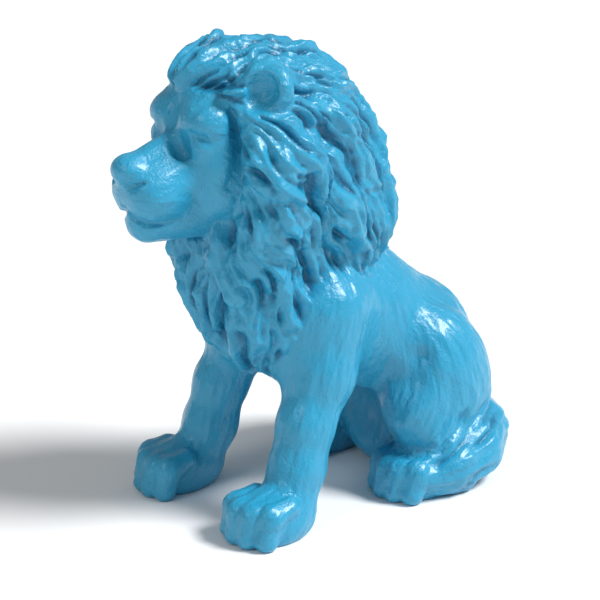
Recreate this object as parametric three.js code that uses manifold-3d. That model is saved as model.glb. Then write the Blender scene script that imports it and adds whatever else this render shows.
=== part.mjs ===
// A seated lion, cast in one piece in resin and lacquered in a single glossy blue.
// Millimetres, +Z up. The lion looks along -Y and its own left side is +X.
import * as THREE from "three";
import { MarchingCubes } from "three/addons/objects/MarchingCubes.js";
import { mergeVertices } from "three/addons/utils/BufferGeometryUtils.js";
import Module from "manifold-3d";

// Driving dimensions
const leftPawSpread = 70; // midline to the middle of a front paw
const rightPawSpread = 65;
const hindPawSpread = 65; // midline to the middle of a hind paw
const pawWidth = 56;
const toeCount = 4;
const hipLine = 108; // where the haunches sit, behind the shoulders
const lockSpacing = 25; // between the roots of neighbouring locks of the mane
const lockWidth = 17; // half the width of a lock at its fullest
const lockLength = 74;
const lockThickness = 0.6; // as a share of the width
const lockJoint = 2.5; // width over which neighbouring locks run together
const boxMiddle = [5.2, 13.4]; // middle of the width and length, seen from the midline and the shoulders

// Sculpting grid, and how far the surface is thinned out afterwards
const gridCells = 148;
const gridSize = 444;
const gridCentre = [0, 27, 196];
const facets = 9600;

const resinBlue = 0x3fa9d1;

const clamp01 = (t) => Math.min(1, Math.max(0, t));
const mix = (a, b, t) => a + (b - a) * t;
const vec = (x, y, z) => new THREE.Vector3(x, y, z);

// Forms. Each holds its distance as a function of a point, negative inside, and the box it fills.

// Smooth union of two distances: the joint is filled over a width k.
function weld(a, b, k) {
  const h = Math.max(k - Math.abs(a - b), 0) / k;
  return Math.min(a, b) - h * h * k * 0.25;
}

// A ball stretched to three radii, and turned in degrees about X, then Y, then Z.
function ball(centre, radii, turn = [0, 0, 0]) {
  const euler = new THREE.Euler(...turn.map(THREE.MathUtils.degToRad), "ZYX");
  const m = new THREE.Matrix4().makeRotationFromEuler(euler).elements;
  const [cx, cy, cz] = centre;
  const [rx, ry, rz] = radii;
  const reach = Math.max(...radii);
  const distance = (x, y, z) => {
    const dx = x - cx;
    const dy = y - cy;
    const dz = z - cz;
    const u = (m[0] * dx + m[1] * dy + m[2] * dz) / rx;
    const v = (m[4] * dx + m[5] * dy + m[6] * dz) / ry;
    const w = (m[8] * dx + m[9] * dy + m[10] * dz) / rz;
    const near = Math.hypot(u, v, w);
    const slope = Math.hypot(u / rx, v / ry, w / rz);
    return slope < 1e-9 ? -Math.min(rx, ry, rz) : (near * (near - 1)) / slope;
  };
  return { distance, low: centre.map((c) => c - reach), high: centre.map((c) => c + reach) };
}

// A tapering limb through points, each given as [x, y, z, radius].
function limb(points, k = 12) {
  const bones = points.slice(1).map((b, i) => {
    const a = points[i];
    const axis = [b[0] - a[0], b[1] - a[1], b[2] - a[2]];
    return { a, b, axis, length2: axis[0] ** 2 + axis[1] ** 2 + axis[2] ** 2 };
  });
  const distance = (x, y, z) => {
    let d = Infinity;
    for (const { a, b, axis, length2 } of bones) {
      const px = x - a[0];
      const py = y - a[1];
      const pz = z - a[2];
      const t = clamp01((px * axis[0] + py * axis[1] + pz * axis[2]) / length2);
      const far = Math.hypot(px - t * axis[0], py - t * axis[1], pz - t * axis[2]);
      const bone = far - mix(a[3], b[3], t);
      d = d === Infinity ? bone : weld(d, bone, k);
    }
    return d;
  };
  const edge = (pick, sign) => [0, 1, 2].map((i) => pick(...points.map((p) => p[i] + sign * (p[3] + k / 4))));
  return { distance, low: edge(Math.min, -1), high: edge(Math.max, 1) };
}

// Forms welded in order, each given as [form, width of the joint].
function body(parts) {
  const forms = parts.map(([form]) => form);
  const distance = (x, y, z) => {
    let d = forms[0].distance(x, y, z);
    for (let i = 1; i < parts.length; i++) d = weld(d, forms[i].distance(x, y, z), parts[i][1]);
    return d;
  };
  const joints = Math.max(0, ...parts.slice(1).map(([, k]) => k / 4));
  const edge = (side, pick, sign) => [0, 1, 2].map((i) => pick(...forms.map((f) => f[side][i])) + sign * joints);
  return { distance, low: edge("low", Math.min, -1), high: edge("high", Math.max, 1) };
}

// The same form on the lion's right side.
function opposite(form) {
  return {
    distance: (x, y, z) => form.distance(-x, y, z),
    low: [-form.high[0], form.low[1], form.low[2]],
    high: [-form.low[0], form.high[1], form.high[2]],
  };
}

// The lump that the forms are worked into: distances on a grid.
class Clay {
  air = 1e3;
  step = gridSize / gridCells;
  corner = gridCentre.map((c) => c - gridSize / 2);
  cubes = new MarchingCubes(gridCells, undefined, false, false, 300000);
  field = new Float32Array(gridCells ** 3).fill(this.air);

  // Changes every grid value near a form by a rule of the value there and the form's distance.
  work(form, margin, rule) {
    const first = form.low.map((v, i) => Math.max(1, Math.floor((v - margin - this.corner[i]) / this.step)));
    const last = form.high.map((v, i) =>
      Math.min(gridCells - 2, Math.ceil((v + margin - this.corner[i]) / this.step)),
    );
    for (let k = first[2]; k <= last[2]; k++)
      for (let j = first[1]; j <= last[1]; j++)
        for (let i = first[0]; i <= last[0]; i++) {
          const at = (k * gridCells + j) * gridCells + i;
          const x = this.corner[0] + i * this.step;
          const y = this.corner[1] + j * this.step;
          const z = this.corner[2] + k * this.step;
          this.field[at] = rule(this.field[at], form.distance(x, y, z));
        }
  }

  add(form, k) {
    this.work(form, k + this.step * 2, (a, b) => weld(a, b, k));
  }

  addPair(form, k) {
    this.add(form, k);
    this.add(opposite(form), k);
  }

  cut(form, k) {
    this.work(form, k + this.step * 2, (a, b) => -weld(-a, b, k));
  }

  cutPair(form, k) {
    this.cut(form, k);
    this.cut(opposite(form), k);
  }

  // The surface as a closed mesh. Values are kept off zero so that no corner of a facet meets a grid point.
  surface() {
    const least = this.step * 0.06;
    for (let at = 0; at < this.field.length; at++) {
      const d = this.field[at];
      this.cubes.field[at] = Math.abs(d) < least ? -(d < 0 ? -least : least) : -d;
    }
    this.cubes.isolation = 0;
    this.cubes.update();
    const soup = new THREE.BufferGeometry();
    const corners = this.cubes.positionArray.slice(0, this.cubes.count * 3);
    soup.setAttribute("position", new THREE.BufferAttribute(corners, 3));
    soup.scale(gridSize / 2, gridSize / 2, gridSize / 2);
    soup.translate(...gridCentre);
    return mergeVertices(soup, 1e-3);
  }
}

// Trunk, from the shoulders down the back to the rump

const trunk = body([
  [limb([[0, -14, 190, 58], [0, 46, 157, 56], [0, 113, 109, 64]], 30)],
  [ball([0, -32, 172], [56, 44, 58]), 24],
  [ball([0, 118, 66], [60, 58, 72]), 20],
]);

// Legs

// A paw seen as a rounded pad with a row of toes across its front.
function paw(x0, y0, length, splay) {
  const pad = ball([x0, y0, 15], [pawWidth * 0.47, length * 0.5, 27]);
  const toes = Array.from({ length: toeCount }, (_, i) => {
    const across = (i / (toeCount - 1)) * 2 - 1;
    const x = x0 + across * pawWidth * 0.35;
    const y = y0 - length * 0.37 + Math.abs(across) * 8 + across * splay;
    return limb([[x, y + 18, 31, 9], [x, y, 26, 10.5], [x, y - 5, 8, 10]], 6);
  });
  return { pad, toes };
}

const foreleg = limb(
  [[54, -4, 176, 31], [58, -15, 124, 26], [62, -33, 86, 21.5], [64, -44, 50, 21], [66, -54, 22, 21]],
  14,
);

const thigh = ball([52, hipLine, 94], [38, 55, 66], [16, 0, 0]);
const shank = limb([[60, 76, 76, 28], [66, 104, 34, 26]], 14);
const hindfoot = limb([[70, 126, 16, 20], [66, 92, 18, 20]], 10);

// The paws, and the side that each is on
const itself = (form) => form;
const paws = [
  [paw(leftPawSpread, -73, 74, 3), itself],
  [paw(rightPawSpread, -77, 76, 3), opposite],
  [paw(hindPawSpread, 81, 72, 2), itself],
  [paw(hindPawSpread, 81, 72, 2), opposite],
];

// Tail, from under the rump round the left haunch, its tuft beside the left hind paw

const tail = limb(
  [[0, 152, 50, 18], [24, 172, 38, 22], [50, 160, 34, 26], [70, 133, 30, 27], [80, 104, 24, 24], [88, 78, 20, 10]],
  16,
);

// Head

const cheek = ball([29, -87, 300], [21, 26, 37]);
const brow = ball([21, -98, 336], [21, 18, 16]);
const whiskerPad = ball([12, -142, 284], [18, 19, 17]);
const bridgeFlank = limb([[9, -110, 300, 17], [8, -146, 294, 14]]);
const head = body([
  [ball([0, -72, 318], [44, 47, 45])],
  [cheek, 12],
  [opposite(cheek), 12],
  [brow, 18],
  [opposite(brow), 18],
  [limb([[0, -104, 318, 15], [0, -152, 303, 13]]), 10], // bridge of the nose
  [bridgeFlank, 10],
  [opposite(bridgeFlank), 10],
  [ball([0, -126, 287], [28, 36, 24]), 10], // muzzle
  [limb([[0, -100, 268, 26], [0, -140, 263, 19]]), 10], // jaw and chin
  [whiskerPad, 8],
  [opposite(whiskerPad), 8],
  [ball([0, -158, 305], [15, 13, 12]), 6], // nose
]);
const eyeSocket = limb([[14, -132, 326, 7], [17, -120, 315, 7]]);
const eyeball = ball([17, -113, 319], [8, 8, 8]);
const browFurrow = limb([[0, -125, 333, 3], [0, -119, 352, 3]], 6);

// The ears are bowls that open forward, with the hair parted in front of them
function ear(x, y) {
  return {
    parting: ball([x + 3, y - 24, 363], [19, 18, 20]),
    bowl: ball([x, y, 366], [20, 13, 22], [-10, 0, 20]),
    hollow: ball([x + 2, y - 11, 366], [13.5, 14, 15.5], [-10, 0, 20]),
  };
}
const ears = [
  [ear(53, -57), itself],
  [ear(51, -66), opposite],
];

// Mane. Locks of hair lie on this core like tiles, roots sunk and tips standing out.

const ruff = limb([
  [40, -60, 358, 22],
  [54, -56, 310, 26],
  [51, -59, 262, 26],
  [30, -69, 222, 22],
  [12, -70, 190, 20],
]);
const maneCore = body([
  [ball([0, -20, 335], [60, 58, 58])],
  [ball([0, -64, 360], [50, 43, 33]), 20],
  [ball([0, 2, 278], [72, 63, 76]), 30],
  [ball([0, 36, 235], [57, 50, 46]), 24],
  [ball([0, -42, 206], [57, 50, 80]), 30],
  [ruff, 20],
  [opposite(ruff), 20],
]);

// The direction straight out of the mane at a point.
function outward(p) {
  const h = 0.5;
  const d = maneCore.distance;
  return vec(
    d(p.x + h, p.y, p.z) - d(p.x - h, p.y, p.z),
    d(p.x, p.y + h, p.z) - d(p.x, p.y - h, p.z),
    d(p.x, p.y, p.z + h) - d(p.x, p.y, p.z - h),
  ).normalize();
}

function ontoMane(p) {
  for (let i = 0; i < 4; i++) p.addScaledVector(outward(p), -maneCore.distance(p.x, p.y, p.z));
  return p;
}

// How far hair at a point leans to one side or the other.
function wave({ x, y, z }) {
  return Math.sin(x / 13 + 1.7 * Math.sin(z / 19 + y / 23)) * Math.cos(z / 15 - y / 11);
}

// Hair leaves the face all round, then falls back and down in waves.
function hairFlow(p, normal) {
  const above = clamp01((p.z - 330) / 50);
  const beard = clamp01((240 - p.z) / 60);
  const flow = vec(p.x, 0, p.z - 300).normalize().multiplyScalar(mix(0.35, 0.5, above));
  flow.add(vec(0, mix(0.8, 1, above) - 0.7 * beard, mix(-1.1, 0, above)));
  flow.addScaledVector(normal, -flow.dot(normal)).normalize();
  const side = normal.clone().cross(flow);
  return flow.addScaledVector(side, 0.7 * wave(p)).normalize();
}

// Locks are full at the sides and the back, small on the beard and the brow.
function lockSize({ y, z }) {
  const back = clamp01((y + 75) / 60);
  const low = clamp01((250 - z) / 80);
  return 0.72 + 0.33 * back * (1 - 0.6 * low);
}

// Roots spread evenly: points of a low-discrepancy sequence that keep their distance.
function lockRoots() {
  const roots = [];
  const steps = [0.8191725134, 0.6710436067, 0.5497004779];
  const spans = [
    [-85, 85],
    [-105, 80],
    [120, 400],
  ];
  for (let n = 1; n < 4000; n++) {
    const p = ontoMane(vec(...steps.map((s, i) => mix(...spans[i], (n * s) % 1))));
    if (p.z < 128 || head.distance(p.x, p.y, p.z) < -3) continue;
    const room = lockSpacing * lockSize(p);
    if (roots.every((q) => q.distanceTo(p) > room)) roots.push(p);
  }
  return roots;
}

// One lock: a flat leaf along the hair, its root sunk and its pointed tip standing out.
function lock(root, n) {
  const count = 7;
  const size = lockSize(root);
  const length = lockLength * size * (0.85 + 0.35 * ((n * 0.618) % 1));
  const thickness = lockThickness * lockWidth * size;
  const p = root.clone();
  const spots = [];
  for (let i = 0; i < count; i++) {
    const t = i / (count - 1);
    const normal = outward(p);
    const heading = hairFlow(p, normal);
    const radius = lockWidth * size * Math.max(0.12, Math.sin(Math.PI * (0.2 + 0.78 * t)) ** 0.8);
    const lift = 1.3 * thickness * (t - 1) + 6 * t ** 2;
    spots.push({ at: p.clone().addScaledVector(normal, lift), radius, side: normal.clone().cross(heading) });
    ontoMane(p.addScaledVector(heading, length / (count - 1)));
  }
  return leaf(spots);
}

// A leaf through spots, each with its half width and the direction across it.
function leaf(spots) {
  const bones = spots.slice(1).map((b, i) => {
    const a = spots[i];
    const axis = b.at.clone().sub(a.at);
    return { a, b, axis, side: a.side.clone().add(b.side).normalize() };
  });
  const offset = vec();
  const distance = (x, y, z) => {
    let d = Infinity;
    for (const { a, b, axis, side } of bones) {
      offset.set(x, y, z).sub(a.at);
      const t = clamp01(offset.dot(axis) / axis.lengthSq());
      offset.addScaledVector(axis, -t);
      const wide = mix(a.radius, b.radius, t);
      const thick = wide * lockThickness + 0.6;
      const across = offset.dot(side);
      const rest = Math.sqrt(Math.max(offset.lengthSq() - across * across, 0));
      const part = (Math.hypot(across / wide, rest / thick) - 1) * thick;
      d = d === Infinity ? part : weld(d, part, 2);
    }
    return d;
  };
  const edge = (pick, sign) => ["x", "y", "z"].map((i) => pick(...spots.map((s) => s.at[i] + sign * (s.radius + 2))));
  return { distance, low: edge(Math.min, -1), high: edge(Math.max, 1) };
}

// Thins a closed mesh to a number of facets by joining neighbouring corners, flattest places first.
class Thinner {
  constructor(geometry) {
    const position = geometry.attributes.position;
    const index = geometry.index.array;
    this.corners = Array.from({ length: position.count }, (_, i) => vec().fromBufferAttribute(position, i));
    this.faces = [];
    this.around = this.corners.map(() => new Set());
    this.quadrics = this.corners.map(() => new Float64Array(10));
    this.version = new Int32Array(position.count);
    this.heap = [];
    for (let i = 0; i < index.length; i += 3) {
      const face = [index[i], index[i + 1], index[i + 2]];
      if (new Set(face).size === 3) this.addFace(face);
    }
    this.count = this.faces.length;
  }

  addFace(face) {
    const id = this.faces.push(face) - 1;
    for (const c of face) this.around[c].add(id);
    const { x, y, z } = this.normal(face);
    const area = Math.hypot(x, y, z);
    if (area === 0) return;
    const plane = [x / area, y / area, z / area, -vec(x, y, z).dot(this.corners[face[0]]) / area];
    for (const c of face) {
      let at = 0;
      for (let i = 0; i < 4; i++) for (let j = i; j < 4; j++) this.quadrics[c][at++] += area * plane[i] * plane[j];
    }
  }

  normal([a, b, c], moved = -1, to = null) {
    const at = (i) => (moved === i ? to : this.corners[i]);
    return at(b).clone().sub(at(a)).cross(at(c).clone().sub(at(a)));
  }

  neighbours(corner) {
    const found = new Set();
    for (const id of this.around[corner]) for (const c of this.faces[id]) if (c !== corner) found.add(c);
    return found;
  }

  // How far a point lies from the planes that a quadric holds.
  static error(q, { x, y, z }) {
    const squares = q[0] * x * x + q[4] * y * y + q[7] * z * z;
    const mixed = q[1] * x * y + q[2] * x * z + q[5] * y * z + q[3] * x + q[6] * y + q[8] * z;
    return squares + 2 * mixed + q[9];
  }

  // The best single corner for an edge, and what it costs.
  offer(a, b) {
    const q = this.quadrics[a].map((v, i) => v + this.quadrics[b][i]);
    const middle = this.corners[a].clone().lerp(this.corners[b], 0.5);
    const spots = [middle, this.corners[a], this.corners[b]];
    const system = new THREE.Matrix3().set(q[0], q[1], q[2], q[1], q[4], q[5], q[2], q[5], q[7]);
    const size = q[0] + q[4] + q[7];
    if (Math.abs(system.determinant()) > 1e-4 * size ** 3) {
      const best = vec(-q[3], -q[6], -q[8]).applyMatrix3(system.invert());
      if (best.distanceTo(middle) < 2 * this.corners[a].distanceTo(this.corners[b])) spots.push(best);
    }
    const costs = spots.map((spot) => Thinner.error(q, spot));
    const least = costs.indexOf(Math.min(...costs));
    const cost = costs[least] + 0.002 * this.corners[a].distanceToSquared(this.corners[b]);
    this.push({ cost, a, b, spot: spots[least], versions: this.version[a] + this.version[b] });
  }

  push(item) {
    const { heap } = this;
    let i = heap.push(item) - 1;
    while (i > 0) {
      const parent = (i - 1) >> 1;
      if (heap[parent].cost <= item.cost) break;
      heap[i] = heap[parent];
      i = parent;
    }
    heap[i] = item;
  }

  pop() {
    const { heap } = this;
    const top = heap[0];
    const item = heap.pop();
    if (heap.length === 0) return top;
    let i = 0;
    for (;;) {
      let child = 2 * i + 1;
      if (child >= heap.length) break;
      if (child + 1 < heap.length && heap[child + 1].cost < heap[child].cost) child++;
      if (heap[child].cost >= item.cost) break;
      heap[i] = heap[child];
      i = child;
    }
    heap[i] = item;
    return top;
  }

  // An edge can go when its ends share two neighbours only and no facet near it turns over.
  canJoin(a, b, spot) {
    const shared = [...this.neighbours(a)].filter((c) => this.neighbours(b).has(c));
    if (shared.length !== 2) return false;
    for (const [corner, other] of [[a, b], [b, a]])
      for (const id of this.around[corner]) {
        const face = this.faces[id];
        if (face.includes(other)) continue;
        const before = this.normal(face);
        const after = this.normal(face, corner, spot);
        if (before.dot(after) < 0.25 * before.length() * after.length() || after.length() < 1e-3) return false;
      }
    return true;
  }

  join(a, b, spot) {
    for (const id of this.around[b]) {
      const face = this.faces[id];
      if (face.includes(a)) {
        for (const c of face) if (c !== b) this.around[c].delete(id);
        this.faces[id] = null;
        this.count--;
      } else {
        face[face.indexOf(b)] = a;
        this.around[a].add(id);
      }
    }
    this.around[b].clear();
    this.corners[a].copy(spot);
    this.quadrics[b].forEach((v, i) => (this.quadrics[a][i] += v));
    this.version[a]++;
    this.version[b] = -1e6;
    for (const c of this.neighbours(a)) this.offer(a, c);
  }

  thin(target) {
    for (const face of this.faces)
      for (let i = 0; i < 3; i++) if (face[i] < face[(i + 1) % 3]) this.offer(face[i], face[(i + 1) % 3]);
    while (this.count > target && this.heap.length) {
      const { a, b, spot, versions } = this.pop();
      if (versions !== this.version[a] + this.version[b]) continue;
      if (this.canJoin(a, b, spot)) this.join(a, b, spot.clone());
    }
    const kept = this.faces.filter(Boolean).flat();
    const points = kept.flatMap((c) => this.corners[c].toArray());
    const geometry = new THREE.BufferGeometry();
    geometry.setAttribute("position", new THREE.Float32BufferAttribute(points, 3));
    return mergeVertices(geometry, 1e-4);
  }
}

const wasm = await Module();
wasm.setup();

function toSolid(geometry) {
  const vertProperties = Float32Array.from(geometry.attributes.position.array);
  const triVerts = Uint32Array.from(geometry.index.array);
  return new wasm.Manifold(new wasm.Mesh({ numProp: 3, vertProperties, triVerts }));
}

function toGeometry(solid) {
  const { vertProperties, triVerts } = solid.getMesh();
  const geometry = new THREE.BufferGeometry();
  geometry.setAttribute("position", new THREE.BufferAttribute(vertProperties, 3));
  geometry.setIndex(new THREE.BufferAttribute(triVerts, 1));
  return geometry;
}

const clay = new Clay();
clay.add(trunk, 1);
clay.addPair(foreleg, 18);
clay.addPair(thigh, 12);
clay.addPair(shank, 14);
clay.addPair(hindfoot, 10);
for (const [{ pad, toes }, side] of paws) {
  clay.add(side(pad), 12);
  for (const toe of toes) clay.add(side(toe), 3);
}
clay.add(tail, 6);
clay.add(maneCore, 8);
clay.add(head, 4);
clay.cutPair(eyeSocket, 6);
clay.cut(browFurrow, 8);
clay.addPair(eyeball, 1.5);
lockRoots().forEach((root, n) => clay.add(lock(root, n), lockJoint));
for (const [{ parting, bowl, hollow }, side] of ears) {
  clay.cut(side(parting), 8);
  clay.add(side(bowl), 5);
  clay.cut(side(hollow), 5);
}

// The soles, the rump and the tail end flat, on the floor
const underfloor = new THREE.BoxGeometry(gridSize, gridSize * 2, 100).toNonIndexed();
underfloor.deleteAttribute("normal");
underfloor.deleteAttribute("uv");
underfloor.translate(0, 0, -50);

const thinned = toSolid(new Thinner(clay.surface()).thin(facets));
const cast = toGeometry(thinned.subtract(toSolid(mergeVertices(underfloor))));
cast.translate(-boxMiddle[0], -boxMiddle[1], 0);

const group = new THREE.Group();
const lacquer = new THREE.MeshStandardMaterial({ color: resinBlue, roughness: 0.25, metalness: 0 });
const mesh = new THREE.Mesh(cast, lacquer);
mesh.name = "lion";
group.add(mesh);

export default group;
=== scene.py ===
import math
import time

import bpy
import numpy as np
from mathutils import Euler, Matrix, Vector


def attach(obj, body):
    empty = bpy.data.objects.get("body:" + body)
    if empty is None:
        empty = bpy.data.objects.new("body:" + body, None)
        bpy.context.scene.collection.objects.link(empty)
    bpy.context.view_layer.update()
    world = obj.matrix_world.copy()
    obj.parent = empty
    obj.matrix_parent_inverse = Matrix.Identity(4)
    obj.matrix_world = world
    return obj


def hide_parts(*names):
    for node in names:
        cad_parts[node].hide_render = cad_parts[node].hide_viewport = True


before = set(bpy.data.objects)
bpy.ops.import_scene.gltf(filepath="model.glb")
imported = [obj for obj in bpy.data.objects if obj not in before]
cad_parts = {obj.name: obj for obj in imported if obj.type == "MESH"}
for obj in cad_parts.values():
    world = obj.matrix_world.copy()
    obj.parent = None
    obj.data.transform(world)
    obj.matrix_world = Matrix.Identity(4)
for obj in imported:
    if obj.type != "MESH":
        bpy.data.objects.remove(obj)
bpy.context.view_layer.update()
startTime = time.time()


def report(text):
    print(f"{text} ({time.time() - startTime:.0f} s)")


# The sculptor's frame is in millimetres: the midline is x = 0 and the shoulders stand near y = 0.
# The CAD frame has its origin in the middle of the box, so the figure is moved by this at the end.
boxMiddle = np.array([5.2, 13.4, 0.0])

sculpting = {
    "step": 1.6,          # grid spacing, mm
    "low": (-105, -178, -5),
    "high": (112, 208, 408),
    "facets": 190000,     # triangles kept on the finished skin
}


def weld(a, b, k):
    # smooth union of two distances, the joint filled over a width k
    h = np.maximum(k - np.abs(a - b), 0) / k
    return np.minimum(a, b) - h * h * k * 0.25


class Form:
    # a distance function, negative inside, and the box that it fills
    def __init__(self, distance, low, high):
        self.distance = distance
        self.low = np.array(low, float)
        self.high = np.array(high, float)

    def opposite(self):
        low = self.low * (-1, 1, 1)
        high = self.high * (-1, 1, 1)
        return Form(lambda x, y, z: self.distance(-x, y, z), np.minimum(low, high), np.maximum(low, high))


def itself(form):
    return form


def opposite(form):
    return form.opposite()


def ball(centre, radii, turn=(0, 0, 0)):
    # an ellipsoid, turned in degrees about X, then Y, then Z
    m = np.array(Euler([math.radians(t) for t in turn], "XYZ").to_matrix())

    def distance(x, y, z):
        dx, dy, dz = x - centre[0], y - centre[1], z - centre[2]
        near = 0
        slope = 0
        for i in range(3):
            u = (m[0, i] * dx + m[1, i] * dy + m[2, i] * dz) / radii[i]
            near = near + u * u
            slope = slope + (u / radii[i]) ** 2
        near = np.sqrt(near)
        return near * (near - 1) / np.maximum(np.sqrt(slope), 1e-6)

    reach = max(radii)
    return Form(distance, [c - reach for c in centre], [c + reach for c in centre])


def bone(a, b, x, y, z):
    # distance along and away from one straight bone
    axis = np.subtract(b[:3], a[:3])
    px, py, pz = x - a[0], y - a[1], z - a[2]
    t = np.clip((px * axis[0] + py * axis[1] + pz * axis[2]) / max(axis @ axis, 1e-9), 0, 1)
    qx, qy, qz = px - t * axis[0], py - t * axis[1], pz - t * axis[2]
    return t, qx, qy, qz


def limb(points, k=12):
    # a tapering limb through points, each (x, y, z, radius)
    points = [np.array(p, float) for p in points]

    def distance(x, y, z):
        d = None
        for a, b in zip(points, points[1:]):
            t, qx, qy, qz = bone(a, b, x, y, z)
            one = np.sqrt(qx * qx + qy * qy + qz * qz) - (a[3] + (b[3] - a[3]) * t)
            d = one if d is None else weld(d, one, k)
        return d

    spread = np.array([p[:3] - p[3] - k / 4 for p in points] + [p[:3] + p[3] + k / 4 for p in points])
    return Form(distance, spread.min(0), spread.max(0))


def body(parts):
    # forms welded in order, each (form, width of the joint)
    forms = [part[0] for part in parts]

    def distance(x, y, z):
        d = forms[0].distance(x, y, z)
        for form, k in parts[1:]:
            d = weld(d, form.distance(x, y, z), k)
        return d

    joint = max([part[1] for part in parts[1:]] + [0]) / 4
    low = np.min([f.low for f in forms], 0) - joint
    high = np.max([f.high for f in forms], 0) + joint
    return Form(distance, low, high)


class Clay:
    # distances on a grid, which forms are worked into one by one
    def __init__(self):
        step = sculpting["step"]
        low = np.array(sculpting["low"], float)
        high = np.array(sculpting["high"], float)
        count = np.ceil((high - low) / step).astype(int) + 1
        self.axes = [low[i] + step * np.arange(count[i]) for i in range(3)]
        self.low = low
        self.step = step
        self.field = np.full(count, 100.0, np.float32)

    def window(self, low, high):
        spans = []
        for i in range(3):
            first = max(0, int((low[i] - self.low[i]) / self.step))
            last = min(len(self.axes[i]), int(math.ceil((high[i] - self.low[i]) / self.step)) + 1)
            spans.append(slice(first, max(first, last)))
        grid = np.meshgrid(*[self.axes[i][spans[i]] for i in range(3)], indexing="ij", sparse=True)
        return tuple(spans), grid

    def work(self, form, margin, rule):
        spans, grid = self.window(form.low - margin, form.high + margin)
        here = self.field[spans]
        if here.size:
            self.field[spans] = rule(here, form.distance(*grid))

    def add(self, form, k, pair=False):
        for one in (form, form.opposite()) if pair else (form,):
            self.work(one, k + 2 * self.step, lambda a, b: weld(a, b, k))

    def cut(self, form, k, pair=False):
        for one in (form, form.opposite()) if pair else (form,):
            self.work(one, k + 2 * self.step, lambda a, b: -weld(-a, b, k))

    def soften(self, form, margin, rounds):
        # blurs the clay near a form, which rounds the creases
        spans, grid = self.window(form.low - margin, form.high + margin)
        here = self.field[spans]
        inside = (form.distance(*grid) < margin) & (head.distance(*grid) > 0)
        soft = here.copy()
        for _ in range(rounds):
            for axis in range(3):
                line = np.moveaxis(soft, axis, 0)
                line[1:-1] = line[:-2] / 4 + line[1:-1] / 2 + line[2:] / 4
        self.field[spans] = np.where(inside, soft, here)


# Trunk and legs

trunk = {
    # limbs are points, each x, y, z and radius; balls are a middle, three radii and sometimes a turn
    "spine": [(0, -14, 190, 58), (0, 46, 157, 56), (0, 113, 109, 64)],
    "breast": ((0, -32, 172), (56, 44, 58)),
    "rump": ((0, 118, 66), (60, 58, 72)),
}

legs = {
    "foreleg": [(54, -4, 176, 31), (58, -15, 124, 26), (62, -33, 86, 21.5), (64, -44, 50, 21),
                (66, -54, 22, 21)],
    "thigh": ((52, 114, 94), (38, 49, 66), (20, 0, 0)),
    "shank": [(60, 81, 76, 27), (66, 104, 34, 26)],
    "hindfoot": [(70, 126, 16, 20), (66, 92, 18, 20)],
    "thighCrease": [(73, 78, 124, 1), (76, 64, 106, 1.5), (73, 52, 84, 1.5)],
    "groin": ((0, 50, 58), (38, 36, 42)),
    # middle x, middle y, length and splay of the toes
    "leftForepaw": (70, -73, 74, 3),
    "rightForepaw": (65, -77, 76, 3),
    "hindpaw": (65, 81, 72, 2),
    "pawWidth": 56,
    "pawMiddle": 15,      # height of the middle of the paw
    "pawHeight": 42,
    "toes": 4,
    "toe": [(0, 18, 31, 9), (0, 0, 26, 10.5), (0, -5, 8, 10)],     # from its knuckle down
}


def makePaw(clay, side, x0, y0, length, splay):
    width = legs["pawWidth"]
    middle = legs["pawMiddle"]
    clay.add(side(ball((x0, y0, middle), (width * 0.47, length * 0.5, legs["pawHeight"] - middle))), 12)
    for i in range(legs["toes"]):
        # across runs from -1 at the inner toe to 1 at the outer
        across = i / (legs["toes"] - 1) * 2 - 1
        x = x0 + across * width * 0.35
        y = y0 - length * 0.37 + abs(across) * 10 + across * splay
        toe = limb([(x + dx, y + dy, z, radius) for dx, dy, z, radius in legs["toe"]], 6)
        clay.add(side(toe), 2.2)


def makeBody(clay):
    clay.add(body([
        (limb(trunk["spine"], 30),),
        (ball(*trunk["breast"]), 24),
        (ball(*trunk["rump"]), 20),
    ]), 1)
    clay.add(limb(legs["foreleg"], 14), 30, pair=True)
    clay.add(ball(*legs["thigh"]), 12, pair=True)
    clay.add(limb(legs["shank"], 14), 14, pair=True)
    clay.add(limb(legs["hindfoot"], 10), 10, pair=True)
    clay.cut(limb(legs["thighCrease"], 8), 20, pair=True)
    clay.cut(ball(*legs["groin"]), 14)
    makePaw(clay, itself, *legs["leftForepaw"])
    makePaw(clay, opposite, *legs["rightForepaw"])
    makePaw(clay, itself, *legs["hindpaw"])
    makePaw(clay, opposite, *legs["hindpaw"])


# Tail

tail = {
    "route": [(0, 152, 50, 18), (24, 172, 38, 22), (50, 160, 34, 26), (70, 133, 30, 27), (80, 104, 24, 24),
              (88, 78, 20, 10)],
}


def makeTail(clay):
    clay.add(limb(tail["route"], 16), 6)


# Head

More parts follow.
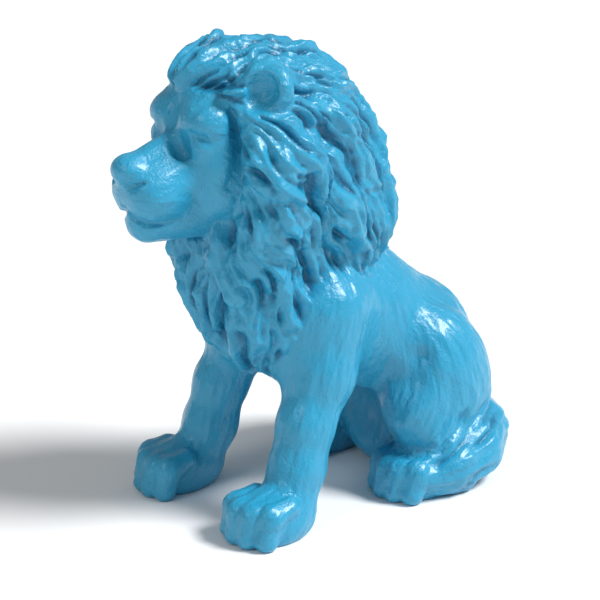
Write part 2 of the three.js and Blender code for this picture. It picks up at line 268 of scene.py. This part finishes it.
face = {
    "skull": ((0, -72, 318), (44, 47, 45)),
    "forehead": ((0, -84, 351), (34, 24, 18)),
    "cheek": ((29, -87, 300), (21, 26, 37)),
    "brow": ((23, -100, 340), (21, 19, 16)),
    "bridge": [(0, -106, 320, 15), (0, -152, 304, 13)],
    "flank": [(12, -108, 302, 18), (10, -146, 294, 14)],
    "muzzle": ((0, -126, 287), (28, 36, 24)),
    "jaw": [(0, -100, 268, 26), (0, -140, 263, 19)],
    "whiskerPad": ((12, -142, 284), (18, 19, 17)),
    "nose": ((0, -158, 305), (15, 13, 12)),
    "socket": [(12, -125, 331, 6), (18, -120, 317, 6.5)],
    "lid": ((29, -108, 321), (9, 9, 9)),
    "lidCrease": [(28, -117, 333, 1.4), (36, -112, 331, 1.8), (43, -106, 326, 1.2)],
    "frown": [(0, -120, 336, 4), (-1, -115, 350, 4)],
    "mouth": [(0, -161, 275, 2), (7, -159, 269.5, 2.4), (15, -153, 265, 2.6), (20, -142, 263.5, 2.4),
              (22, -124, 264.5, 1.4)],
    "philtrum": [(0, -174, 296, 1.4), (0, -165, 276, 1.6)],
    "nostril": [(8, -167, 297, 2.4), (14.5, -162, 295, 1.8), (20, -156, 298, 1.2)],
    # the groove between the cheek and the mane
    "edge": [(43, -88, 349, 3), (46, -84, 336, 4.5), (49, -84, 322, 5), (51, -88, 307, 5),
             (48, -96, 292, 3)],
}

cheek = ball(*face["cheek"])
brow = ball(*face["brow"])
whiskerPad = ball(*face["whiskerPad"])
flank = limb(face["flank"])
head = body([
    (ball(*face["skull"]),),
    (ball(*face["forehead"]), 14),
    (cheek, 12),
    (cheek.opposite(), 12),
    (brow, 14),
    (brow.opposite(), 14),
    (limb(face["bridge"]), 10),
    (flank, 10),
    (flank.opposite(), 10),
    (ball(*face["muzzle"]), 10),
    (limb(face["jaw"]), 10),
    (whiskerPad, 12),
    (whiskerPad.opposite(), 12),
    (ball(*face["nose"]), 6),
])


def makeFace(clay):
    clay.add(head, 4)
    clay.add(ball(*face["lid"]), 6, pair=True)
    clay.cut(limb(face["socket"]), 5, pair=True)
    clay.cut(limb(face["frown"], 6), 7)
    clay.cut(limb(face["lidCrease"], 4), 3, pair=True)
    clay.cut(limb(face["mouth"], 3), 2.5, pair=True)
    clay.cut(limb(face["philtrum"], 3), 2.5)
    clay.cut(limb(face["nostril"], 3), 2.5, pair=True)


ears = {
    "left": (55, -62, 366),
    "right": (52, -65, 366),      # as if it were on the left; it is mirrored
    "radii": (20, 12, 20),
    "turn": (-8, 0, 26),
    # middles as steps from the middle of the ear, and radii
    "parting": ((8, -24, -4), (17, 15, 19)),
    "bowl": ((4.5, -10.5, 0.5), (13, 9.5, 13.5)),
}


def earShape(which):
    return ball(ears[which], ears["radii"], ears["turn"])


def makeEar(clay, side, which):
    # a shallow bowl that opens forward and out, with the hair parted in front of it
    parting, partingRadii = ears["parting"]
    bowl, bowlRadii = ears["bowl"]
    clay.cut(side(ball(np.add(ears[which], parting), partingRadii)), 8)
    clay.add(side(earShape(which)), 4)
    clay.cut(side(ball(np.add(ears[which], bowl), bowlRadii, ears["turn"])), 4)


# Mane

mane = {
    "lockSpacing": 25,
    "lockWidth": 17,      # half the width of a lock at its fullest
    "lockLength": 74,
    "thickness": 0.6,     # of a lock, as a share of its width
    "softening": 3,       # rounds of blurring the clay once the locks are on
    "joint": 4,           # width over which neighbouring locks run together, mm
    # the mass under the locks
    "crown": ((0, -20, 335), (60, 58, 52)),
    "forelock": ((0, -64, 360), (50, 43, 30)),
    "neck": ((0, 1, 278), (72, 61, 76)),
    "nape": ((0, 31, 238), (57, 48, 44)),
    "beard": ((0, -42, 206), (57, 50, 80)),
    "ruff": [(40, -60, 358, 22), (54, -56, 310, 26), (51, -59, 262, 26), (32, -71, 226, 23),
             (12, -70, 190, 20)],
    # roots are sought in this box, from this height up
    "rootsLow": (-85, -105, 120),
    "rootsHigh": (85, 80, 400),
    "lowestRoot": 128,
}

ruff = limb(mane["ruff"])
maneCore = body([
    (ball(*mane["crown"]),),
    (ball(*mane["forelock"]), 20),
    (ball(*mane["neck"]), 30),
    (ball(*mane["nape"]), 24),
    (ball(*mane["beard"]), 30),
    (ruff, 20),
    (ruff.opposite(), 20),
])


def unit(v):
    return v / np.maximum(np.linalg.norm(v, axis=-1, keepdims=True), 1e-12)


def outward(p):
    # straight out of the mane at many points
    h = 0.5
    columns = []
    for i in range(3):
        move = np.zeros(3)
        move[i] = h
        columns.append(maneCore.distance(*(p + move).T) - maneCore.distance(*(p - move).T))
    return unit(np.stack(columns, -1))


def ontoMane(p):
    for _ in range(4):
        p = p - outward(p) * maneCore.distance(*p.T)[:, None]
    return p


def wave(p):
    # how far hair at a point leans to one side or the other
    x, y, z = p.T
    return np.sin(x / 13 + 1.7 * np.sin(z / 19 + y / 23)) * np.cos(z / 15 - y / 11)


def hairFlow(p, normal, lean=0.7):
    # hair leaves the face all round, then falls back and down in waves
    above = np.clip((p[:, 2:] - 330) / 50, 0, 1)
    beard = np.clip((240 - p[:, 2:]) / 60, 0, 1)
    flow = unit(p * (1, 0, 1) - (0, 0, 300)) * (0.35 + 0.15 * above)
    flow = flow + np.concatenate([0 * above, 0.8 + 0.2 * above - 0.7 * beard, -1.1 * (1 - above)], 1)
    flow = unit(flow - normal * np.sum(flow * normal, 1, keepdims=True))
    return unit(flow + np.cross(normal, flow) * wave(p)[:, None] * lean)


def lockRoots():
    # points of a low-discrepancy sequence that keep their distance from each other
    n = np.arange(1, 4000)[:, None]
    steps = np.array([0.8191725134, 0.6710436067, 0.5497004779])
    low = np.array(mane["rootsLow"])
    high = np.array(mane["rootsHigh"])
    p = ontoMane(low + (high - low) * (n * steps % 1))
    p = p[(p[:, 2] >= mane["lowestRoot"]) & (head.distance(*p.T) >= -3)]
    roots = []
    for q in p:
        room = mane["lockSpacing"] * lockSize(q[None])[0]
        if not roots or np.min(np.linalg.norm(np.array(roots) - q, axis=1)) > room:
            roots.append(q)
    return np.array(roots)


def lockSize(p):
    # full at the sides and the back, small on the beard and the brow
    back = np.clip((p[:, 1] + 75) / 60, 0, 1)
    low = np.clip((250 - p[:, 2]) / 80, 0, 1)
    return 0.72 + 0.33 * back * (1 - 0.6 * low)


def layLocks():
    # every lock as spots along its middle line: the place, half the width and the way sideways
    root = lockRoots()
    n = np.arange(len(root))
    size = lockSize(root)
    length = mane["lockLength"] * size * (0.85 + 0.35 * (n * 0.618 % 1))
    p = root
    count = 7
    spots = []
    for i in range(count):
        t = i / (count - 1)
        normal = outward(p)
        heading = hairFlow(p, normal)
        radius = mane["lockWidth"] * size * max(0.12, math.sin(math.pi * (0.2 + 0.78 * t)) ** 0.8)
        lift = mane["thickness"] * mane["lockWidth"] * size * (-1.3 + 1.3 * t) + 6 * t ** 2
        spots.append((p + normal * lift[:, None], radius, np.cross(normal, heading)))
        p = ontoMane(p + heading * (length / (count - 1))[:, None])
    return [[tuple(part[j] for part in spot) for spot in spots] for j in range(len(root))]


def lockForm(spots):
    # a flat leaf of hair, thin at its edges
    def distance(x, y, z):
        d = None
        for (a, ra, sideA), (b, rb, sideB) in zip(spots, spots[1:]):
            t, qx, qy, qz = bone(a, b, x, y, z)
            side = unit(sideA + sideB)
            wide = ra + (rb - ra) * t
            across = qx * side[0] + qy * side[1] + qz * side[2]
            rest = np.sqrt(np.maximum(qx * qx + qy * qy + qz * qz - across * across, 0))
            thick = wide * mane["thickness"] + 0.6
            one = (np.sqrt((across / wide) ** 2 + (rest / thick) ** 2) - 1) * thick
            d = one if d is None else weld(d, one, 2)
        return d

    spread = np.array([s[0] - s[1] - 2 for s in spots] + [s[0] + s[1] + 2 for s in spots])
    return Form(distance, spread.min(0), spread.max(0))


def makeMane(clay, locks):
    for spots in locks:
        clay.add(lockForm(spots), mane["joint"])
    clay.soften(maneCore, 18, mane["softening"])
    clay.cut(limb(face["edge"], 6), 7, pair=True)


# Skin: one corner for each grid cell that the surface passes through

def skinOf(clay):
    f = clay.field
    f = np.where(np.abs(f) < 1e-4, 1e-4, f)
    inside = f < 0
    corners = [(i, j, k) for i in (0, 1) for j in (0, 1) for k in (0, 1)]
    total = sum(inside[i:i + f.shape[0] - 1, j:j + f.shape[1] - 1, k:k + f.shape[2] - 1].astype(np.int8)
                for i, j, k in corners)
    cells = np.argwhere((total > 0) & (total < 8))
    number = np.full(total.shape, -1, np.int32)
    number[tuple(cells.T)] = np.arange(len(cells))
    place = np.zeros((len(cells), 3))
    hits = np.zeros(len(cells))
    for axis in range(3):
        step = np.eye(3, dtype=int)[axis]
        others = [c for c in corners if c[axis] == 0]
        for c in others:
            a = f[tuple((cells + c).T)]
            b = f[tuple((cells + c + step).T)]
            cross = (a < 0) != (b < 0)
            t = np.where(cross, a / np.where(cross, a - b, 1), 0)
            place += cross[:, None] * (np.array(c) + step * t[:, None])
            hits += cross
    points = clay.low + clay.step * (cells + place / hits[:, None])
    quads = []
    step = np.eye(3, dtype=int)
    for axis in range(3):
        u, v = (axis + 1) % 3, (axis + 2) % 3
        ahead = np.moveaxis(inside, axis, 0)
        change = np.moveaxis(ahead[:-1] != ahead[1:], 0, axis)
        edges = np.argwhere(change)
        edges = edges[(edges[:, u] > 0) & (edges[:, v] > 0)]
        edges = edges[(edges[:, u] < total.shape[u]) & (edges[:, v] < total.shape[v])]
        ring = [number[tuple((edges - s).T)] for s in (0 * step[u], step[u], step[u] + step[v], step[v])]
        quad = np.stack(ring, 1)
        flip = inside[tuple((edges + step[axis]).T)]
        quad[flip] = quad[flip][:, ::-1]
        quads.append(quad)
    return points, np.concatenate(quads)


def slopes(clay, points):
    # the way out of the clay at each point
    field = np.stack(np.gradient(clay.field), -1)
    cell = np.clip(np.rint((points - clay.low) / clay.step).astype(int), 0, np.array(clay.field.shape) - 1)
    return unit(field[tuple(cell.T)].astype(float))


def meshFrom(name, points, faces):
    mesh = bpy.data.meshes.new(name)
    mesh.vertices.add(len(points))
    mesh.vertices.foreach_set("co", np.asarray(points, np.float32).ravel())
    size = faces.shape[1]
    mesh.loops.add(faces.size)
    mesh.loops.foreach_set("vertex_index", faces.astype(np.int32).ravel())
    mesh.polygons.add(len(faces))
    mesh.polygons.foreach_set("loop_start", np.arange(len(faces), dtype=np.int32) * size)
    mesh.polygons.foreach_set("use_smooth", np.ones(len(faces), bool))
    mesh.update(calc_edges=True)
    mesh.validate()
    piece = bpy.data.objects.new(name, mesh)
    bpy.context.scene.collection.objects.link(piece)
    return piece


def thin(piece, facets):
    # keeps the triangles where the surface bends
    now = sum(len(p.vertices) - 2 for p in piece.data.polygons)
    if now > facets:
        modifier = piece.modifiers.new("thin", "DECIMATE")
        modifier.ratio = facets / now
        bpy.context.view_layer.objects.active = piece
        piece.select_set(True)
        bpy.ops.object.modifier_apply(modifier=modifier.name)
    return piece


# Fine relief: strands and strokes, drawn out along the way the hair grows

fur = {
    "pace": 2.5,          # between the places along a hair where its grain is taken, mm
    # each relief is its depth in mm, its width in mm and its reach each way in paces
    "clump": (3.0, 24, 14),
    "strand": (2.3, 5.8, 7),
    "hair": (1.7, 3.7, 5),
    "stroke": (0.22, 7, 4),       # on the coat
    "down": (0.3, 3.6, 3),
    "tuft": (1.5, 6.5, 9),        # on the end of the tail
    "tuftPlace": ((68, 118, 34), 70),     # its middle, and how far it reaches, mm
    "finest": (2.6, 4),           # these are painted, not carved: width and reach
    "lean": 0.45,                 # how far strands sway
    "shorter": 0.4,               # depth on the face, as a share of that on the coat
}

furDirections = [
    # where, and which way the fur grows there
    ((0, -150, 300), (0, 1, 0.1)),
    ((0, -105, 345), (0, 0.6, 0.8)),
    ((45, -90, 300), (0.2, 0.7, -0.6)),
    ((-45, -90, 300), (-0.2, 0.7, -0.6)),
    ((60, -20, 130), (0, -0.3, -1)),
    ((-60, -20, 130), (0, -0.3, -1)),
    ((64, -50, 50), (0, -0.2, -1)),
    ((-64, -50, 50), (0, -0.2, -1)),
    ((68, -85, 25), (0, -1, -0.5)),
    ((-68, -85, 25), (0, -1, -0.5)),
    ((0, 110, 210), (0, 0.8, -0.6)),
    ((0, 180, 120), (0, 0.1, -1)),
    ((80, 110, 110), (0, 0.35, -1)),
    ((-80, 110, 110), (0, 0.35, -1)),
    ((80, 70, 60), (0, -0.5, -1)),
    ((-80, 70, 60), (0, -0.5, -1)),
    ((60, 160, 30), (0.6, -0.6, 0)),
    ((85, 100, 20), (0.1, -1, 0)),
]


def coatFlow(points):
    # the way that the short fur grows
    spots = np.array([d[0] for d in furDirections], float)
    ways = unit(np.array([d[1] for d in furDirections], float))
    gap = np.sum((points[:, None] - spots[None]) ** 2, 2)
    share = 1 / (gap + 400) ** 2
    return unit(share @ ways)


def onMane(points):
    # 1 on the mane, 0 on the face, the ears and the coat
    near = np.clip((16 - np.abs(maneCore.distance(*points.T))) / 5, 0, 1)
    for form in (head, earShape("left"), earShape("right").opposite()):
        near *= np.clip((form.distance(*points.T) - 1) / 4, 0, 1)
    return near


def grain(points, size, seed):
    # smooth random values, one to a cell
    values = np.random.default_rng(seed).random((48, 48, 48))
    place = points / size
    cell = np.floor(place).astype(int)
    t = place - cell
    t = t * t * (3 - 2 * t)
    total = 0
    for i in (0, 1):
        for j in (0, 1):
            for k in (0, 1):
                corner = values[tuple(((cell + (i, j, k)) % 48).T)]
                total = total + corner * np.prod(np.where((i, j, k), t, 1 - t), 1)
    return total


def alongHair(points, onward, paces):
    # places along the hair that runs through each point, each way: near ones first
    places = [points]
    ahead = behind = points
    for _ in range(paces):
        ahead = onward(ahead, fur["pace"])
        behind = onward(behind, -fur["pace"])
        places += [ahead, behind]
    return places


def strokes(places, width, paces, seed):
    # grain averaged along the hair runs together into strokes
    total = sum(grain(p, width, seed) for p in places[:2 * paces + 1])
    return (total - total.mean()) / total.std()


def carved(height):
    # flat-topped ridges and deep valleys, each running out at both ends
    return np.clip(height, -2.4, 1.1)


def carveFur(points, normals):
    # returns the carved points, how high each stands, 0 in a valley and 1 on a ridge, and its finest hairs
    hairy = onMane(points)
    depth = np.zeros(len(points))
    lump = np.zeros(len(points))
    hairs = np.zeros(len(points))
    hair = hairy > 0

    def fall(p, step):
        rise = outward(p)
        p = p + hairFlow(p, rise, fur["lean"]) * step
        return p - rise * maneCore.distance(*p.T)[:, None]

    # the mane's strands are worked out on its core, so that a lock carries them on its whole side
    core = ontoMane(points[hair])
    places = alongHair(core, fall, fur["clump"][2])
    fine = fur["strand"][0] * carved(strokes(places, *fur["strand"][1:], 5))
    fine += fur["hair"][0] * carved(strokes(places, *fur["hair"][1:], 1))
    lump[hair] += hairy[hair] * fur["clump"][0] * np.clip(strokes(places, *fur["clump"][1:], 0), -1.5, 1.5)
    depth[hair] += hairy[hair] * fine
    hairs[hair] += hairy[hair] * strokes(places, *fur["finest"], 7)
    normals[hair] = unit(normals[hair] + outward(core) * 2)
    coat = hairy < 1
    rise = normals[coat]

    def growth(p, step):
        way = coatFlow(p)
        return p + unit(way - rise * np.sum(way * rise, 1, keepdims=True)) * step

    places = alongHair(points[coat], growth, fur["tuft"][2])
    fine = fur["stroke"][0] * carved(strokes(places, *fur["stroke"][1:], 2))
    fine += fur["down"][0] * carved(strokes(places, *fur["down"][1:], 3))
    fine *= np.where(head.distance(*points[coat].T) < 4, fur["shorter"], 1)
    middle, reach = fur["tuftPlace"]
    tufted = np.clip(2.4 - 2.4 * np.linalg.norm(points[coat] - middle, axis=1) / reach, 0, 1)
    fine += tufted * fur["tuft"][0] * carved(strokes(places, *fur["tuft"][1:], 4))
    depth[coat] += (1 - hairy[coat]) * fine
    hairs[coat] += (1 - hairy[coat]) * strokes(places, *fur["finest"], 8)
    # how high the fur stands; the paint darkens the low fur with it, as painted shade
    height = np.clip(0.6 + depth / 6, 0, 1)
    depth = (depth + lump) * np.clip(points[:, 2] / 6, 0, 1)
    points = points + normals * depth[:, None]
    points[:, 2] = np.maximum(points[:, 2], 0)
    return points, height, np.clip(0.5 + hairs / 4, 0, 1)


def makeLion():
    clay = Clay()
    makeBody(clay)
    makeTail(clay)
    report("body and tail worked")
    locks = layLocks()
    clay.add(maneCore, 8)
    makeFace(clay)
    makeMane(clay, locks)
    makeEar(clay, itself, "left")
    makeEar(clay, opposite, "right")
    report(f"mane and head worked, {len(locks)} locks")
    # the soles, the rump and the tail end flat, on the floor
    clay.field = np.maximum(clay.field, -clay.axes[2][None, None, :].astype(np.float32))
    points, quads = skinOf(clay)
    report(f"skinned, {len(quads)} quads")
    points, height, hairs = carveFur(points, slopes(clay, points))
    report("fur carved")
    piece = meshFrom("lion_cast", (points - boxMiddle) / 1000, quads)
    for name, values in (("furHeight", height), ("furHairs", hairs)):
        layer = piece.data.attributes.new(name, "FLOAT", "POINT")
        layer.data.foreach_set("value", values.astype(np.float32))
    thin(piece, sculpting["facets"])
    for polygon in piece.data.polygons:
        polygon.use_smooth = True
    report(f"thinned to {len(piece.data.polygons)} facets")
    return piece


# Paint

class Num:
    # a number on a shader link, so that maths reads as maths
    def __init__(self, paint, socket):
        self.paint = paint
        self.socket = socket

    def maths(self, operation, a, b):
        return self.paint.node("ShaderNodeMath", {"operation": operation}, {0: a, 1: b})

    def __add__(self, other):
        return self.maths("ADD", self, other)

    def __radd__(self, other):
        return self.maths("ADD", other, self)

    def __sub__(self, other):
        return self.maths("SUBTRACT", self, other)

    def __rsub__(self, other):
        return self.maths("SUBTRACT", other, self)

    def __mul__(self, other):
        return self.maths("MULTIPLY", self, other)

    def __rmul__(self, other):
        return self.maths("MULTIPLY", other, self)


class Paint:
    # a material, and the one way its nodes are made
    def __init__(self, name):
        self.material = bpy.data.materials.new(name)
        self.material.use_nodes = True
        self.tree = self.material.node_tree
        self.tree.nodes.clear()

    def node(self, kind, settings, inputs, output=0):
        # settings come first, then values or links for the inputs; the answer is one of the outputs, if any
        made = self.tree.nodes.new(kind)
        for key, value in settings.items():
            setattr(made, key, value)
        for key, value in inputs.items():
            if isinstance(value, Num):
                self.tree.links.new(value.socket, made.inputs[key])
            else:
                made.inputs[key].default_value = value
        return Num(self, made.outputs[output]) if made.outputs else None


lacquer = {
    "colour": (0.02, 0.28, 0.47, 1),
    "worn": (0.028, 0.33, 0.54, 1),
    "valleyShade": (0.006, 0.14, 0.27, 1),     # painted shade: the darker blue put in the valleys of the fur
    "blotches": 22,           # how closely patches of the two blues follow each other
    "valley": 0.5,            # fur lower than this is painted darker, as painted shade
    "roughness": 0.36,
    "uneven": 0.12,           # how much the roughness varies
    "coat": 0.3,
    "coatRoughness": 0.17,
    "ior": 1.4,
    "orangePeel": 480,        # how fine it is
    "peelDepth": 0.6,
    "hairDepth": 0.9,
    "bump": 0.7,
    "bumpDistance": 0.0016,
}


def paintLacquer():
    paint = Paint("blue_lacquer")
    place = paint.node("ShaderNodeTexCoord", {}, {}, "Object")
    blotch = paint.node("ShaderNodeTexNoise", {}, {
        "Vector": place, "Scale": lacquer["blotches"], "Detail": 3}, "Fac")
    peel = paint.node("ShaderNodeTexNoise", {}, {
        "Vector": place, "Scale": lacquer["orangePeel"], "Detail": 2}, "Fac")
    hairs = paint.node("ShaderNodeAttribute", {"attribute_name": "furHairs"}, {}, "Fac")
    height = paint.node("ShaderNodeAttribute", {"attribute_name": "furHeight"}, {}, "Fac")
    # valley is 0 in the fur's valleys and 1 above them; it sets the painted shade and the coat
    valley = paint.node("ShaderNodeMapRange", {"interpolation_type": "SMOOTHSTEP"}, {
        "Value": height, "From Min": 0.0, "From Max": lacquer["valley"]})
    # a colour Mix has its factor at socket 0, its colours at 6 and 7 and its answer at 2
    blue = paint.node("ShaderNodeMix", {"data_type": "RGBA"}, {
        0: blotch, 6: lacquer["colour"], 7: lacquer["worn"]}, 2)
    # painted shade: the low fur is painted the darker blue, as if shade fell in the valleys
    blue = paint.node("ShaderNodeMix", {"data_type": "RGBA"}, {0: valley, 6: lacquer["valleyShade"], 7: blue}, 2)
    bump = paint.node("ShaderNodeBump", {}, {
        "Height": hairs * lacquer["hairDepth"] + peel * lacquer["peelDepth"],
        "Strength": lacquer["bump"],
        "Distance": lacquer["bumpDistance"],
    })
    shader = paint.node("ShaderNodeBsdfPrincipled", {}, {
        "Base Color": blue,
        "Roughness": lacquer["roughness"] + (blotch - 0.5) * lacquer["uneven"],
        "Normal": bump,
        "Coat Weight": valley * lacquer["coat"],
        "Coat Roughness": lacquer["coatRoughness"],
        "IOR": lacquer["ior"],
    })
    paint.node("ShaderNodeOutputMaterial", {}, {"Surface": shader})
    return paint.material


def paintPlain(name, colour, roughness):
    paint = Paint(name)
    shader = paint.node("ShaderNodeBsdfPrincipled", {}, {"Base Color": colour, "Roughness": roughness})
    paint.node("ShaderNodeOutputMaterial", {}, {"Surface": shader})
    return paint.material


# Studio

studio = {
    "turn": 54.05,        # camera, degrees round towards the lion's left
    "rise": 17.79,        # degrees up
    "away": 1.7,          # metres
    "lens": 122.67,       # mm on a 36 mm sensor
    "target": (0.0031, -0.0134, 0.17206),
    "floor": (0.9, 0.9, 0.9, 1),
    "floorHalf": 40,      # metres from the middle to an edge
    "sky": 0.3,
    # turn and rise in degrees, strength, and spread in degrees
    "key": (132, 50, 3.8, 20),
    "fill": (10, 35, 0.5, 25),
}


def backFrom(turn, rise):
    a, e = math.radians(turn), math.radians(rise)
    return Vector((math.sin(a) * math.cos(e), -math.cos(a) * math.cos(e), math.sin(e)))


def lamp(name, turn, rise, strength, spread):
    # a far soft light; a wider spread gives softer shadows and broader highlights
    light = bpy.data.lights.new(name, "SUN")
    light.energy = strength
    light.angle = math.radians(spread)
    holder = bpy.data.objects.new(name, light)
    holder.rotation_euler = backFrom(turn, rise).to_track_quat("Z", "Y").to_euler()
    bpy.context.scene.collection.objects.link(holder)


def makeStudio():
    half = studio["floorHalf"]
    corners = np.array([(-half, -half, 0), (half, -half, 0), (half, half, 0), (-half, half, 0)])
    floor = meshFrom("floor", corners, np.array([(0, 1, 2, 3)]))
    floor.data.materials.append(paintPlain("pale_floor", studio["floor"], 0.9))
    camera = bpy.data.cameras.new("camera")
    camera.sensor_width = 36
    camera.lens = studio["lens"]
    camera.clip_end = 200
    holder = bpy.data.objects.new("camera", camera)
    back = backFrom(studio["turn"], studio["rise"])
    holder.location = Vector(studio["target"]) + back * studio["away"]
    holder.rotation_euler = back.to_track_quat("Z", "Y").to_euler()
    bpy.context.scene.collection.objects.link(holder)
    bpy.context.scene.camera = holder
    world = bpy.data.worlds.new("studio")
    world.use_nodes = True
    sky = world.node_tree.nodes["Background"]
    sky.inputs["Color"].default_value = (1, 1, 1, 1)
    sky.inputs["Strength"].default_value = studio["sky"]
    bpy.context.scene.world = world
    bpy.context.scene.view_settings.view_transform = "Standard"
    lamp("key", *studio["key"])
    lamp("fill", *studio["fill"])


lion = makeLion()
lion.data.materials.append(paintLacquer())
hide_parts("lion")
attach(lion, "root")
report("lion painted")
makeStudio()
